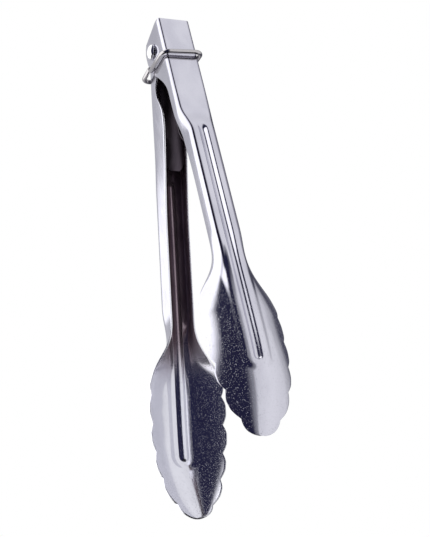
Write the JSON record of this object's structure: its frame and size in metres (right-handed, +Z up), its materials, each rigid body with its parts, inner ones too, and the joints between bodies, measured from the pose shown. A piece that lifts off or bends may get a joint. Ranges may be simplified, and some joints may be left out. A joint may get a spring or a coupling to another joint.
{
  "type": "spring loaded kitchen tongs",
  "caption": "Sheet steel kitchen tongs: scalloped scoops on grooved channel arms, riveted at the head, sprung open, held shut by a sliding wire ring.",
  "frame": {"origin": "middle of the rivet that joins the arms, where the pivot end is held or hung", "axes": "X along the rivet, Y across the opening with the outer arm on -Y, Z up with the scoops hanging down"},
  "size_m": [0.046, 0.1249, 0.2971],
  "materials": {
    "sheet_steel": "plain satin stainless sheet, lightly speckled in the pressed scoops",
    "rivet_steel": "smooth bare steel",
    "spring_steel": "dark tempered strip",
    "ring_wire": "bright drawn wire"
  },
  "bodies": {
    "inner": {"inner_arm": "sheet_steel", "pivot_rivet": "rivet_steel", "leaf_spring": "spring_steel"},
    "outer": {"outer_arm": "sheet_steel"},
    "ring": {"locking_ring": "ring_wire"}
  },
  "joints": [
    {"name": "arm_hinge", "type": "hinge", "parent": "inner", "child": "outer", "pos_m": [0, 0, 0], "axis": [1, 0, 0], "range_deg": [0, 20.9], "stiffness_Nm_per_rad": 0.8, "springref_deg": -34.38, "deforming": ["leaf_spring"]},
    {"name": "ring_slide", "type": "slide", "parent": "inner", "child": "ring", "axis": [0, 0.1305, -0.9914], "range_m": [0, 0.0399]}
  ],
  "couplings": [
    {"joint": "ring_slide", "follows": "arm_hinge", "m_per_rad": 0.10913}
  ]
}
